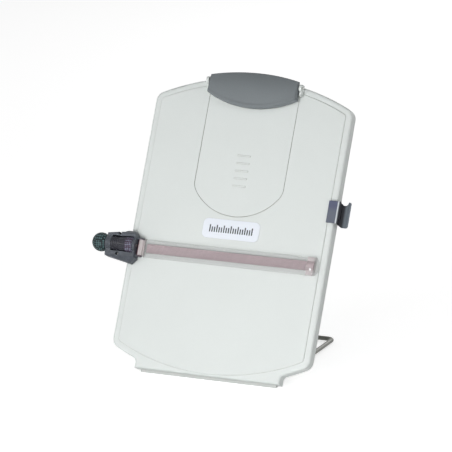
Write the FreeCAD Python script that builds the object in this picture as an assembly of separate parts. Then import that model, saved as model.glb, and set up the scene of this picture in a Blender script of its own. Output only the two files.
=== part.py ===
import FreeCAD, Part
import math
import os

from FreeCAD import Placement, Rotation, Vector

# A desk copy holder: a moulded board on a wire stand, with a paper clip on a
# slide, a line guide that a knob winds along the left edge, and a side clip.
#
# The board is drawn upright in its own frame and then leaned back:
# x runs across it, y from its front face backwards, z up the board from the
# straight front edge of its foot. The finished part stands on z = 0, with its
# origin in the middle of the flat of the foot strip.

# Board
RECLINE = 26.2
BOARD_WIDTH = 245.0
BOARD_TOP = 352.0
BOARD_DEPTH = 14.0
TOP_RADIUS = 272.0
BOTTOM_RADIUS = 266.0
BOTTOM_LOW = -5.4
CORNER_RADIUS = 12.0
SIDE_WALL = 2.4
FRONT_WALL = 3.2
RIM = 7.6
RIM_STEP = 1.0
PANEL_CORNER = 5.0
PANEL_BEVEL = 0.6
EDGE_ROUND = 3.2
FOOT_HALF = 90.0
FOOT_NOTCH_RADIUS = 6.0
RIB_WALL = 1.6
RIB_HEIGHT = 1.9
RIB_PITCH = 48.0

# Rubber strip under the foot
STRIP_HALF = 84.0
STRIP_WIDTH = 5.0
STRIP_LIFT = 0.8

# Slide with the paper clip
TONGUE_HALF = 55.1
TONGUE_LOW = 187.0
TONGUE_TOP = 350.7
TONGUE_ARC = 64.0
TONGUE_CORNER = 18.0
TONGUE_THICK = 2.0
TONGUE_GAP = 0.4
POCKET_FLOOR_GAP = 0.3
POCKET_BACK = 5.0
POCKET_PAD_MARGIN = 3.0
SLIDE_TRAVEL = 70.0
BOSS_LOW = 232.0
BOSS_PITCH = 26.0
BOSS_RADIUS = 3.8
SLOT_GAP = 0.3
RETAINER_WIDTH = 30.0
RETAINER_MARGIN = 9.0
RETAINER_THICK = 2.0
RETAINER_GAP = 0.3
LEAF_THICK = 0.4
LEAF_WIDTH = 12.0
LEAF_REACH = 8.0
GRIP_COUNT = 5
GRIP_PITCH = 9.0
GRIP_LENGTH = 16.0
GRIP_HEIGHT = 0.4
GRIP_WIDTH = 1.6
GRIP_LOW = 222.0

# Ears and pin of the paper clip
HINGE_Y = -6.2
HINGE_Z = 343.0
EAR_INNER = 56.2
EAR_THICK = 3.0
EAR_LOW = 334.0
EAR_ROUND = 4.2
HEAD_FRONT = -2.2
HEAD_BACK = -0.4
CLIP_PIN_RADIUS = 1.5
CLIP_PIN_END = 1.4

# Paper clip
CLIP_HALF = 55.0
CLIP_TOP = 356.4
CLIP_TOP_ARC = 228.0
CLIP_LOW = 314.4
CLIP_LOW_ARC = 118.0
CLIP_FRONT = -13.0
CLIP_LIP_FRONT = -6.4
CLIP_CROWN_FRONT = -6.0
CLIP_WALL = 1.8
CLIP_ROUND = 2.4
CLIP_LIP = 4.0
CLIP_BEAD = 3.0
CLIP_BEAD_RISE = 0.7
KNUCKLE_RADIUS = 3.2
KNUCKLE_REACH = 4.0
CLIP_PAD_BACK = -0.4
CLIP_PAD_FRONT = -2.6
CLIP_PAD_HEIGHT = 5.0
SPRING_WIRE = 0.4
SPRING_RADIUS = 2.4
SPRING_TURNS = 5
SPRING_PITCH = 1.3
SPRING_PLACE = 22.0

# Label
LABEL_WIDTH = 70.0
LABEL_HEIGHT = 23.0
LABEL_ROUND = 6.0
LABEL_THICK = 0.4
LABEL_Z = 171.0

# Line guide carriage
GUIDE_Z = 138.2
DRUM_Y = -9.4
DRUM_RISE = 1.2
ROLLER_RADIUS = 9.15
DRUM_RADIUS = 8.7
TROUGH_GAP = 0.4
DRUM_LEFT = -138.2
ROLLER_LEFT = -120.5
ROLLER_RIGHT = -111.8
DRUM_RINGS = 3
RING_PITCH = 2.6
RING_GROOVE = 0.8
FLUTE_COUNT = 20
FLUTE_RADIUS = 0.7
KNURL_ROWS = 3
KNURL_COUNT = 16
KNURL_RADIUS = 0.9
SHAFT_RADIUS = 2.0
RUNNING_GAP = 0.06
HOUSING_LEFT = -145.4
HOUSING_RIGHT = -108.8
HOUSING_LEFT_HIGH = 12.6
HOUSING_LEFT_LOW = -14.0
HOUSING_STEP_X = -124.6
HOUSING_STEP = 15.8
HOUSING_HIGH = 18.4
HOUSING_TIP_X = -114.2
HOUSING_LOW = -20.0
HOUSING_CORNER = 6.0
HOUSING_BACK = -0.5
HOUSING_SHOULDER = -6.0
HOUSING_FRONT = -14.0
HOUSING_FRONT_HIGH = 14.2
HOUSING_FRONT_LOW = -12.6
HOUSING_ROUND = 0.9
LEFT_WALL_RIGHT = -138.8
RIGHT_WALL_LEFT = -111.2
END_DISC_RADIUS = 8.8
WEB_LEFT = -134.0
WEB_LOW = -14.0
WEB_HIGH = 15.6
EDGE_GAP = 0.6
JAW_GAP = 0.4
JAW_THICK = 4.2
JAW_RIGHT = -108.0
HOOK_DEPTH = 5.0
HOOK_THICK = 2.4
CARRIAGE_SCREW_X = -130.0
CARRIAGE_SCREW_W = 12.0
CARRIAGE_SCREW_SEAT = -6.0
CARRIAGE_HEAD_RADIUS = 1.9
GLIDE_HEIGHT = 20.0
GLIDE_THICK = 1.2
GLIDE_GAP = 0.3
PRESS_SPRING_RISE = 1.0

# Knob
KNOB_RADIUS = 11.1
KNOB_X = -153.0
KNOB_RIGHT = -146.0
KNOB_DIMPLE = 1.5
KNOB_DIMPLE_DEPTH = 0.55
KNOB_ROWS = 5
KNOB_PER_ROW = 14
KNOB_BORE_END = -160.0

# Guide bar
BAR_PIN_Y = -6.0
BAR_PIN_RADIUS = 1.0
BAR_KNUCKLE_RADIUS = 3.3
BAR_KNUCKLE_HALF = 9.0
KNUCKLE_GAP = 0.4
LUG_GAP = 0.3
LUG_THICK = 1.6
LUG_ROOT = 3.0
BAR_RIGHT = 115.5
BAR_HALF = 10.6
BAR_BACK = -2.8
BAR_THICK = 2.4
BAR_CROWN = 1.9
BAR_CROWN_LEFT = -98.0
BAR_LENS_LOW = -5.0
BAR_LENS_HIGH = 5.8
BAR_END_ROUND = 7.0
TINT_THICK = 0.6
TINT_LEFT = -98.5
TINT_RIGHT = 109.0
TINT_GAP = 0.05

# Side clip
SIDE_CLIP_Z = 204.0
TAB_HALF = 12.8
TAB_LEFT = 113.8
TAB_RIGHT = 128.0
TAB_FRONT = -2.2
TAB_BACK = -0.3
SIDE_PIN_X = 126.6
SIDE_PIN_Y = 4.2
SIDE_PIN_RADIUS = 1.2
SIDE_KNUCKLE_RADIUS = 2.9
SIDE_KNUCKLE_HALF = 7.6
SIDE_SPRING_HALF = 3.6
SIDE_SPRING_GAP = 0.3
SIDE_SPRING_PITCH = 1.2
SIDE_SPRING_RADIUS = 2.0
SIDE_LUG_THICK = 3.0
SIDE_LUG_RADIUS = 2.2
SIDE_BODY_HALF = 11.0
SIDE_WEB_THICK = 1.9
SIDE_HOOK_LEFT = 113.0
LEVER_LEFT = 127.4
LEVER_LOW = -16.5
LEVER_LEFT_LOW = -14.2
LEVER_HIGH = 13.5
LEVER_WALL = 1.9
LEVER_RIGHT = 140.5
LEVER_SAG = 3.2
LEVER_FRONT = 0.0
LEVER_CORNER = 3.6
LEVER_NOTCH = 4.2

# Wire stand
WIRE_RADIUS = 2.6
STAND_PIVOT_Y = 9.0
STAND_PIVOT_Z = 7.2
STAND_NEAR_HALF = 84.0
STAND_FAR_HALF = 74.8
STAND_REACH = 196.4
STAND_AXLE_INNER = 62.0
STAND_BEND = 7.0
STAND_NEAR_BEND = 5.0
SLEEVE_RADIUS = 3.6
SLEEVE_LENGTH = 22.0
SLEEVE_X = 42.0
BLOCK_LEFT = 60.0
BLOCK_WIDTH = 15.0
BLOCK_TOP = 14.5
BLOCK_BACK = 13.2
TAB_TOP = 25.0
TAB_THICK = 3.0
POST_RADIUS = 4.0
POST_BACK = 8.2
CRADLE_WIDTH = 12.0
CRADLE_WALL = 2.0
CRADLE_GAP = 0.3

# Screws
SCREW_RADIUS = 1.3
SCREW_HEAD_RADIUS = 2.6
SCREW_HEAD_HEIGHT = 1.8
SCREW_CLEARANCE = 0.15
CROSS_WIDTH = 0.7
CROSS_DEPTH = 0.9

LEAN = math.radians(RECLINE)
FOOT_Z = BOARD_DEPTH * math.sin(LEAN) + STRIP_LIFT
STRIP_MIDDLE = BOARD_DEPTH - STRIP_WIDTH / 2
FOOT_Y = FOOT_Z * math.tan(LEAN) - STRIP_MIDDLE / math.cos(LEAN)
BOARD_HALF = BOARD_WIDTH / 2
BAR_PIN_X = HOUSING_RIGHT + BAR_KNUCKLE_RADIUS + KNUCKLE_GAP
BAR_LEFT = BAR_PIN_X + BAR_KNUCKLE_RADIUS + KNUCKLE_GAP * 2


def lean(shape):
    """Lean a shape from the board's frame back into its place on the desk."""
    leaned = Placement(Vector(0, FOOT_Y, FOOT_Z), Rotation(Vector(1, 0, 0), -RECLINE))
    shape.Placement = leaned.multiply(shape.Placement)
    return shape


def on_desk(y, z):
    """Desk position of a point y behind the board's face and z up it."""
    back = FOOT_Y + z * math.sin(LEAN) + y * math.cos(LEAN)
    up = FOOT_Z + z * math.cos(LEAN) - y * math.sin(LEAN)
    return back, up


def box(x0, x1, y0, y1, z0, z1):
    return Part.makeBox(x1 - x0, y1 - y0, z1 - z0, Vector(x0, y0, z0))


def rod(start, end, radius):
    run = end - start
    return Part.makeCylinder(radius, run.Length, start, run)


def rod_x(x0, x1, y, z, radius):
    return rod(Vector(x0, y, z), Vector(x1, y, z), radius)


def rod_y(x, y0, y1, z, radius):
    return rod(Vector(x, y0, z), Vector(x, y1, z), radius)


def rod_z(x, y, z0, z1, radius):
    return rod(Vector(x, y, z0), Vector(x, y, z1), radius)


def joined(shapes):
    return shapes[0].fuse(shapes[1:]).removeSplitter()


def loop(start, steps):
    """Closed wire from a start point. A step is an end point, or an arc's middle and end."""
    edges = []
    here = start
    for step in steps:
        if isinstance(step, tuple):
            edges.append(Part.Arc(here, step[0], step[1]).toShape())
            here = step[1]
        else:
            edges.append(Part.makeLine(here, step))
            here = step
    if here.distanceToPoint(start) > 1e-6:
        edges.append(Part.makeLine(here, start))
    return Part.Wire(edges)


def prism(wire, travel):
    return Part.Face(wire).extrude(travel)


def front_prism(start, steps, y0, y1):
    """Extrude a front view, given as (x, z) pairs, from y0 to y1."""
    def point(pair):
        return Vector(pair[0], y0, pair[1])

    placed = []
    for step in steps:
        if isinstance(step[0], tuple):
            placed.append((point(step[0]), point(step[1])))
        else:
            placed.append(point(step))
    return prism(loop(point(start), placed), Vector(0, y1 - y0, 0))


def side_prism(start, steps, x0, x1):
    """Extrude a side view, given as (y, z) pairs, from x0 to x1."""
    def point(pair):
        return Vector(x0, pair[0], pair[1])

    placed = []
    for step in steps:
        if isinstance(step[0], tuple):
            placed.append((point(step[0]), point(step[1])))
        else:
            placed.append(point(step))
    return prism(loop(point(start), placed), Vector(x1 - x0, 0, 0))


def top_prism(start, steps, z0, z1):
    """Extrude a view along the board, given as (x, y) pairs, from z0 to z1."""
    def point(pair):
        return Vector(pair[0], pair[1], z0)

    placed = []
    for step in steps:
        if isinstance(step[0], tuple):
            placed.append((point(step[0]), point(step[1])))
        else:
            placed.append(point(step))
    return prism(loop(point(start), placed), Vector(0, 0, z1 - z0))


def rounded(shape, radius, wanted):
    """Fillet the edges for which wanted(edge) is true."""
    edges = [edge for edge in shape.Edges if wanted(edge)]
    return shape.makeFillet(radius, edges)


def runs_along(edge, axis):
    direction = edge.Vertexes[-1].Point - edge.Vertexes[0].Point
    if direction.Length < 1e-6:
        return False
    return abs(abs(direction.normalize().dot(axis)) - 1) < 1e-6


def screw(x, z, seat, tip, direction=1.0, head_radius=SCREW_HEAD_RADIUS):
    """Pan screw along y: its head stands off the seat and its shank ends at the tip."""
    head = rod_y(x, seat, seat + direction * SCREW_HEAD_HEIGHT, z, head_radius)
    shank = rod_y(x, seat, tip, z, SCREW_RADIUS)
    outer = seat + direction * SCREW_HEAD_HEIGHT
    inner = outer - direction * CROSS_DEPTH
    low, high = sorted((inner, outer + direction))
    reach = head_radius * 0.7
    half = CROSS_WIDTH / 2
    cross = box(x - reach, x + reach, low, high, z - half, z + half)
    cross = cross.fuse(box(x - half, x + half, low, high, z - reach, z + reach))
    return head.fuse(shank).cut(cross)


def top_edge(x, inset=0.0):
    """Height of the board's top arc at x."""
    radius = TOP_RADIUS - inset
    return BOARD_TOP - inset - radius + math.sqrt(radius ** 2 - x ** 2)


def bottom_edge(x, inset=0.0):
    """Height of the board's bottom arc at x."""
    radius = BOTTOM_RADIUS - inset
    return BOTTOM_LOW + inset + radius - math.sqrt(radius ** 2 - x ** 2)


def board_prism(inset, y0, y1, foot, corner):
    """The board's front view, inset all round, with or without the foot."""
    half = BOARD_HALF - inset
    top = top_edge(half, inset)
    low = bottom_edge(half, inset)
    steps = []
    if foot:
        start = (-FOOT_HALF + inset, inset)
        notch = FOOT_NOTCH_RADIUS + inset
        radius = BOTTOM_RADIUS - inset
        centre_x = FOOT_HALF - inset + notch
        drop = math.sqrt((radius + notch) ** 2 - centre_x ** 2)
        centre_z = BOTTOM_LOW + BOTTOM_RADIUS - drop
        share = radius / (radius + notch)
        meet_x = centre_x * share
        meet_z = BOTTOM_LOW + BOTTOM_RADIUS - drop * share
        turn = (math.pi + math.atan2(meet_z - centre_z, meet_x - centre_x)) / 2
        mid_x = centre_x + notch * math.cos(turn)
        mid_z = centre_z + notch * math.sin(turn)
        wing_x = (meet_x + half) / 2
        wing_z = bottom_edge(wing_x, inset)
        steps.append((FOOT_HALF - inset, inset))
        steps.append((FOOT_HALF - inset, centre_z))
        steps.append(((mid_x, mid_z), (meet_x, meet_z)))
        steps.append(((wing_x, wing_z), (half, low)))
        steps.append((half, top))
        steps.append(((0, top_edge(0, inset)), (-half, top)))
        steps.append((-half, low))
        steps.append(((-wing_x, wing_z), (-meet_x, meet_z)))
        steps.append(((-mid_x, mid_z), (-FOOT_HALF + inset, centre_z)))
    else:
        start = (-half, low)
        steps.append(((0, bottom_edge(0, inset)), (half, low)))
        steps.append((half, top))
        steps.append(((0, top_edge(0, inset)), (-half, top)))
    shape = front_prism(start, steps, y0, y1)
    depth = Vector(0, 1, 0)

    def is_corner(edge):
        return runs_along(edge, depth) and abs(abs(edge.Vertexes[0].X) - half) < 1e-4

    return rounded(shape, corner, is_corner)


def tongue_prism(margin, top, y0, y1):
    """The slide's U-shaped front view, grown by a margin and ended at a height."""
    half = TONGUE_HALF + margin
    low = TONGUE_LOW - margin
    radius = TONGUE_ARC + margin
    meet = low + radius - math.sqrt(radius ** 2 - half ** 2)
    start = (-half, meet)
    steps = [((0, low), (half, meet)), (half, top), (-half, top)]
    shape = front_prism(start, steps, y0, y1)

    def is_corner(edge):
        return runs_along(edge, Vector(0, 1, 0)) and abs(edge.Vertexes[0].Z - meet) < 1e-4

    return rounded(shape, TONGUE_CORNER + margin, is_corner)


def boss_heights():
    return [BOSS_LOW, BOSS_LOW + BOSS_PITCH]


def stand_folded_height():
    """Height up the board of the stand's cross-bar when it is folded."""
    return STAND_PIVOT_Z + STAND_REACH


def board_body():
    """Tray-shaped moulding: stepped rim, straight foot and hollow back."""
    body = board_prism(0, RIM_STEP, BOARD_DEPTH, True, CORNER_RADIUS)

    def is_front(edge):
        box_of = edge.BoundBox
        return box_of.YMax < RIM_STEP + 1e-4

    body = rounded(body, EDGE_ROUND, is_front)
    panel = board_prism(RIM, 0, RIM_STEP + 1, False, PANEL_CORNER)
    panel_edges = [edge for edge in panel.Edges if edge.BoundBox.YMax < 1e-4]
    panel = panel.makeChamfer(PANEL_BEVEL, panel_edges)
    body = body.fuse(panel)
    cavity = board_prism(SIDE_WALL, FRONT_WALL, BOARD_DEPTH + 1, True, CORNER_RADIUS - SIDE_WALL)
    return body.cut(cavity)


def slide_pad():
    """Thicker patch behind the slide's pocket."""
    pad = tongue_prism(TONGUE_GAP + POCKET_PAD_MARGIN, BOARD_TOP + 1, FRONT_WALL - 0.5, POCKET_BACK)
    return pad.common(board_prism(SIDE_WALL / 2, 0, BOARD_DEPTH, True, CORNER_RADIUS))


def slide_slot():
    half = BOSS_RADIUS + SLOT_GAP
    low = BOSS_LOW
    high = BOSS_LOW + BOSS_PITCH + SLIDE_TRAVEL
    start = (-half, low)
    steps = [((0, low - half), (half, low)), (half, high), ((0, high + half), (-half, high))]
    return front_prism(start, steps, -1, POCKET_BACK + 1)


def back_ribs():
    """Low stiffening ribs across the hollow back, clear of the slide's pad."""
    ribs = []
    back = FRONT_WALL + RIB_HEIGHT
    count = int(BOARD_TOP / RIB_PITCH)
    for index in range(1, count + 1):
        height = index * RIB_PITCH
        if height > BOARD_TOP - SIDE_WALL * 4:
            continue
        ribs.append(box(-BOARD_HALF, BOARD_HALF, FRONT_WALL - 0.5, back, height, height + RIB_WALL))
    for x in (-2 * RIB_PITCH, -RIB_PITCH * 1.4, RIB_PITCH * 1.4, 2 * RIB_PITCH):
        ribs.append(box(x, x + RIB_WALL, FRONT_WALL - 0.5, back, TAB_TOP + RIB_WALL, BOARD_TOP))
    shape = ribs[0].fuse(ribs[1:])
    room = board_prism(SIDE_WALL / 2, 0, BOARD_DEPTH, True, CORNER_RADIUS)
    clear_half = RETAINER_WIDTH / 2 + 3
    keep_out = box(-clear_half, clear_half, 0, BOARD_DEPTH, TONGUE_LOW, BOARD_TOP)
    return shape.common(room).cut(keep_out)


def screw_posts():
    posts = []
    for side in (-1, 1):
        x = side * (BLOCK_LEFT + BLOCK_WIDTH / 2)
        post = rod_y(x, FRONT_WALL - 0.5, POST_BACK, (BLOCK_TOP + TAB_TOP) / 2, POST_RADIUS)
        posts.append(post)
    return posts


def post_holes():
    holes = []
    for side in (-1, 1):
        x = side * (BLOCK_LEFT + BLOCK_WIDTH / 2)
        holes.append(rod_y(x, FRONT_WALL, POST_BACK + 1, (BLOCK_TOP + TAB_TOP) / 2, SCREW_RADIUS))
    return holes


def stand_cradle():
    """Two fingers on the back that take the folded stand's cross-bar."""
    height = stand_folded_height()
    gap = WIRE_RADIUS + CRADLE_GAP
    floor = STAND_PIVOT_Y - WIRE_RADIUS - CRADLE_GAP
    back = STAND_PIVOT_Y + WIRE_RADIUS
    half = CRADLE_WIDTH / 2
    outer = gap + CRADLE_WALL
    base = box(-half, half, FRONT_WALL - 0.5, floor, height - outer, height + outer)
    lower = box(-half, half, floor - 0.5, back, height - outer, height - gap)
    upper = box(-half, half, floor - 0.5, back, height + gap, height + outer)
    return base.fuse([lower, upper])


def make_board():
    pieces = [board_body(), slide_pad(), back_ribs(), stand_cradle()]
    pieces.extend(screw_posts())
    shape = joined(pieces)
    pocket = tongue_prism(TONGUE_GAP, BOARD_TOP + 5, -1, TONGUE_THICK + POCKET_FLOOR_GAP)
    shape = shape.cut(pocket)
    shape = shape.cut(slide_slot())
    return shape.cut(post_holes())


def make_foot_strip():
    """Rubber wedge under the foot, cut flat where it meets the desk."""
    front = BOARD_DEPTH - STRIP_WIDTH
    slope = math.tan(LEAN)

    def desk_height(y):
        return y * slope - FOOT_Z / math.cos(LEAN)

    start = (front, 0)
    steps = [(BOARD_DEPTH, 0), (BOARD_DEPTH, desk_height(BOARD_DEPTH)), (front, desk_height(front))]
    return side_prism(start, steps, -STRIP_HALF, STRIP_HALF)


def make_label():
    half = LABEL_WIDTH / 2
    shape = box(-half, half, -LABEL_THICK, 0, LABEL_Z - LABEL_HEIGHT / 2, LABEL_Z + LABEL_HEIGHT / 2)
    return rounded(shape, LABEL_ROUND, lambda edge: runs_along(edge, Vector(0, 1, 0)))


def ear(side):
    inner = side * EAR_INNER
    outer = side * (EAR_INNER + EAR_THICK)
    x0, x1 = sorted((inner, outer))
    top = HINGE_Z + EAR_ROUND
    plate = box(x0, x1, HINGE_Y, HEAD_BACK, EAR_LOW, top)
    return plate.fuse(rod_x(x0, x1, HINGE_Y, HINGE_Z, EAR_ROUND))


def make_slide():
    """Tongue with its head plate, ears, bosses and thumb ridges."""
    tongue = tongue_prism(0, TONGUE_TOP, 0, TONGUE_THICK)
    lip = board_prism(0, -1, BOARD_DEPTH, False, CORNER_RADIUS)
    tongue = tongue.common(lip)
    outer = EAR_INNER + EAR_THICK
    head = box(-outer, outer, HEAD_FRONT, HEAD_BACK, EAR_LOW, HINGE_Z + EAR_ROUND)
    neck = box(-TONGUE_HALF + 1, TONGUE_HALF - 1, HEAD_BACK - 0.5, 0.5, EAR_LOW, HINGE_Z + EAR_ROUND)
    neck = neck.common(lip)
    pieces = [tongue, head, neck, ear(-1), ear(1)]
    boss_end = POCKET_BACK + RETAINER_GAP
    for height in boss_heights():
        pieces.append(rod_y(0, TONGUE_THICK - 0.5, boss_end, height, BOSS_RADIUS))
    for index in range(GRIP_COUNT):
        height = GRIP_LOW + index * GRIP_PITCH
        pieces.append(box(-GRIP_LENGTH / 2, GRIP_LENGTH / 2, -GRIP_HEIGHT, 0.5,
                          height, height + GRIP_WIDTH))
    shape = joined(pieces)
    for height in boss_heights():
        shape = shape.cut(rod_y(0, TONGUE_THICK * 0.6, boss_end + 1, height, SCREW_RADIUS))
    return shape.cut(rod_x(-outer - 1, outer + 1, HINGE_Y, HINGE_Z, CLIP_PIN_RADIUS))


def retainer_face():
    return POCKET_BACK + RETAINER_GAP + RETAINER_THICK


def make_retainer():
    """Plate behind the board that holds the slide in its pocket."""
    low = BOSS_LOW - RETAINER_MARGIN
    high = BOSS_LOW + BOSS_PITCH + RETAINER_MARGIN
    front = POCKET_BACK + RETAINER_GAP
    half = RETAINER_WIDTH / 2
    shape = box(-half, half, front, retainer_face(), low, high)
    shape = rounded(shape, 4.0, lambda edge: runs_along(edge, Vector(0, 1, 0)))
    for height in boss_heights():
        shape = shape.cut(rod_y(0, front - 1, retainer_face() + 1, height, SCREW_RADIUS + SCREW_CLEARANCE))
    return shape


def make_slide_spring():
    """Steel bow whose ends press on the back of the board."""
    low = BOSS_LOW - RETAINER_MARGIN
    high = BOSS_LOW + BOSS_PITCH + RETAINER_MARGIN
    flat = retainer_face()
    tip = POCKET_BACK + RETAINER_GAP
    reach = LEAF_REACH
    start = (flat, low)
    steps = [(flat, high), (tip, high + reach), (tip + LEAF_THICK, high + reach + LEAF_THICK),
             (flat + LEAF_THICK, high + LEAF_THICK), (flat + LEAF_THICK, low - LEAF_THICK),
             (tip + LEAF_THICK, low - reach - LEAF_THICK), (tip, low - reach)]
    shape = side_prism(start, steps, -LEAF_WIDTH / 2, LEAF_WIDTH / 2)
    for height in boss_heights():
        shape = shape.cut(rod_y(0, tip, flat + 2, height, SCREW_RADIUS + SCREW_CLEARANCE))
    return shape


def make_slide_screws():
    seat = retainer_face() + LEAF_THICK
    tip = TONGUE_THICK * 0.6 + 0.2
    return Part.makeCompound([screw(0, height, seat, tip) for height in boss_heights()])


def make_clip_pin():
    end = EAR_INNER + EAR_THICK + CLIP_PIN_END
    return rod_x(-end, end, HINGE_Y, HINGE_Z, CLIP_PIN_RADIUS)


def clip_front_view(inset, y0, y1):
    """The clip's lens-shaped front view."""
    half = CLIP_HALF - inset
    top = CLIP_TOP - inset
    low = CLIP_LOW + inset
    top_radius = CLIP_TOP_ARC - inset
    low_radius = CLIP_LOW_ARC - inset
    top_end = top - top_radius + math.sqrt(top_radius ** 2 - half ** 2)
    low_end = low + low_radius - math.sqrt(low_radius ** 2 - half ** 2)
    start = (-half, low_end)
    steps = [((0, low), (half, low_end)), (half, top_end), ((0, top), (-half, top_end))]
    return front_prism(start, steps, y0, y1)


def clip_side_view(inset):
    """The clip's bowed side view."""
    middle = (CLIP_TOP + CLIP_LOW) / 2
    back = CLIP_PAD_FRONT + inset * 3
    start = (back, CLIP_LOW - 1)
    steps = [(CLIP_LIP_FRONT + inset, CLIP_LOW - 1),
             ((CLIP_FRONT + inset, middle), (CLIP_CROWN_FRONT + inset, CLIP_TOP + 1)),
             (back, CLIP_TOP + 1)]
    return side_prism(start, steps, -CLIP_HALF - 2, CLIP_HALF + 2)


def make_clip():
    """Bowed cover that turns on the pin, hollow behind, with a thick lower lip."""
    outer = clip_front_view(0, CLIP_FRONT - 1, CLIP_PAD_FRONT).common(clip_side_view(0))

    def is_front(edge):
        return edge.BoundBox.YMax < CLIP_PAD_FRONT - 0.5 and not runs_along(edge, Vector(0, 1, 0))

    outer = rounded(outer, CLIP_ROUND, is_front)
    band = clip_front_view(CLIP_BEAD_RISE, CLIP_FRONT - 2, CLIP_PAD_FRONT)
    raised = band.copy()
    raised.translate(Vector(0, 0, CLIP_BEAD))
    bead = band.cut(raised).common(clip_side_view(-CLIP_BEAD_RISE))
    outer = outer.fuse(bead)
    inner = clip_front_view(CLIP_WALL, CLIP_FRONT - 1, 1).common(clip_side_view(CLIP_WALL))
    lip = box(-CLIP_HALF, CLIP_HALF, CLIP_FRONT, 2, CLIP_LOW, CLIP_LOW + CLIP_LIP)
    shape = outer.cut(inner.cut(lip))
    pieces = [shape]
    for side in (-1, 1):
        x0, x1 = sorted((side * (CLIP_HALF - KNUCKLE_REACH), side * (CLIP_HALF - CLIP_WALL / 2)))
        pieces.append(rod_x(x0, x1, HINGE_Y, HINGE_Z, KNUCKLE_RADIUS))
        rib = box(x0, x1, CLIP_FRONT + CLIP_WALL * 0.7, HINGE_Y, HINGE_Z - KNUCKLE_RADIUS / 2,
                  HINGE_Z + KNUCKLE_RADIUS / 2)
        pieces.append(rib)
    shape = joined(pieces)
    wide = CLIP_HALF + 2
    shape = shape.cut(box(-wide, wide, HINGE_Y + KNUCKLE_RADIUS, 2, EAR_LOW - 3, CLIP_TOP + 2))
    above = box(-wide, wide, HINGE_Y, 2, HINGE_Z, CLIP_TOP + 2)
    above = above.cut(rod_x(-wide, wide, HINGE_Y, HINGE_Z, KNUCKLE_RADIUS))
    shape = shape.cut(above)
    return shape.cut(rod_x(-wide, wide, HINGE_Y, HINGE_Z, CLIP_PIN_RADIUS + RUNNING_GAP))


def make_clip_pad():
    """Rubber strip along the clip's lower lip."""
    strip = clip_front_view(1.0, CLIP_PAD_FRONT, CLIP_PAD_BACK)
    rest = clip_front_view(1.0, CLIP_PAD_FRONT, CLIP_PAD_BACK)
    rest.translate(Vector(0, 0, CLIP_LIP - 1))
    keep = box(-CLIP_HALF * 0.72, CLIP_HALF * 0.72, CLIP_PAD_FRONT, CLIP_PAD_BACK,
               CLIP_LOW, CLIP_LOW + CLIP_PAD_HEIGHT * 2)
    return strip.cut(rest).common(keep)


def coil(centre, turns, pitch, radius, wire):
    """Spring coil along x, from its middle."""
    helix = Part.makeHelix(pitch, pitch * turns, radius)
    profile = Part.Wire(Part.makeCircle(wire, Vector(radius, 0, 0), Vector(0, 1, 0)))
    shape = Part.Wire(helix).makePipeShell([profile], True, True)
    shape.rotate(Vector(0, 0, 0), Vector(0, 1, 0), 90)
    shape.translate(centre - Vector(pitch * turns / 2, 0, 0))
    return shape


def make_clip_springs():
    coils = []
    for side in (-1, 1):
        centre = Vector(side * SPRING_PLACE, HINGE_Y, HINGE_Z)
        coils.append(coil(centre, SPRING_TURNS, SPRING_PITCH, SPRING_RADIUS, SPRING_WIRE))
    return Part.makeCompound(coils)


def wound(shape):
    """Lift a piece that turns with the knob, drawn about z = 0, to the drum's axis."""
    shape.translate(Vector(0, 0, GUIDE_Z + DRUM_RISE))
    return shape


def guide(shape):
    """Lift a line guide piece, drawn about z = 0, to the guide's height."""
    shape.translate(Vector(0, 0, GUIDE_Z))
    return shape


def make_shaft():
    return wound(rod_x(KNOB_BORE_END, HOUSING_RIGHT, DRUM_Y, 0, SHAFT_RADIUS))


def make_drum():
    """Plastic drum with turned rings at the knob end and flutes along it."""
    shape = rod_x(DRUM_LEFT, ROLLER_LEFT, DRUM_Y, 0, DRUM_RADIUS)
    for index in range(DRUM_RINGS):
        x = DRUM_LEFT + RING_PITCH * (index + 0.7)
        ring = rod_x(x, x + RING_GROOVE, DRUM_Y, 0, DRUM_RADIUS + 1)
        ring = ring.cut(rod_x(x, x + RING_GROOVE, DRUM_Y, 0, DRUM_RADIUS - RING_GROOVE))
        shape = shape.cut(ring)
    flute_left = DRUM_LEFT + RING_PITCH * (DRUM_RINGS + 1)
    flutes = []
    for index in range(FLUTE_COUNT):
        turn = 2 * math.pi * index / FLUTE_COUNT
        y = DRUM_Y + (DRUM_RADIUS + 0.2) * math.cos(turn)
        z = (DRUM_RADIUS + 0.2) * math.sin(turn)
        flutes.append(rod_x(flute_left, ROLLER_LEFT + 1, y, z, FLUTE_RADIUS))
    shape = shape.cut(flutes)
    core = (DRUM_RADIUS + SHAFT_RADIUS) / 2
    shape = shape.fuse(rod_x(ROLLER_LEFT - 1, ROLLER_RIGHT, DRUM_Y, 0, core))
    return wound(shape.cut(rod_x(DRUM_LEFT - 1, ROLLER_RIGHT + 1, DRUM_Y, 0, SHAFT_RADIUS)))


def make_roller():
    """Rubber tyre with a studded tread, on the drum's smaller end."""
    core = (DRUM_RADIUS + SHAFT_RADIUS) / 2
    shape = rod_x(ROLLER_LEFT, ROLLER_RIGHT, DRUM_Y, 0, ROLLER_RADIUS)
    shape = shape.cut(rod_x(ROLLER_LEFT - 1, ROLLER_RIGHT + 1, DRUM_Y, 0, core))
    pits = []
    row_pitch = (ROLLER_RIGHT - ROLLER_LEFT) / KNURL_ROWS
    for row in range(KNURL_ROWS):
        x = ROLLER_LEFT + row_pitch * (row + 0.5)
        for index in range(KNURL_COUNT):
            turn = 2 * math.pi * (index + row / 2) / KNURL_COUNT
            y = DRUM_Y + (ROLLER_RADIUS + 0.4) * math.cos(turn)
            z = (ROLLER_RADIUS + 0.4) * math.sin(turn)
            pits.append(Part.makeSphere(KNURL_RADIUS, Vector(x, y, z)))
    return wound(shape.cut(pits))


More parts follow.
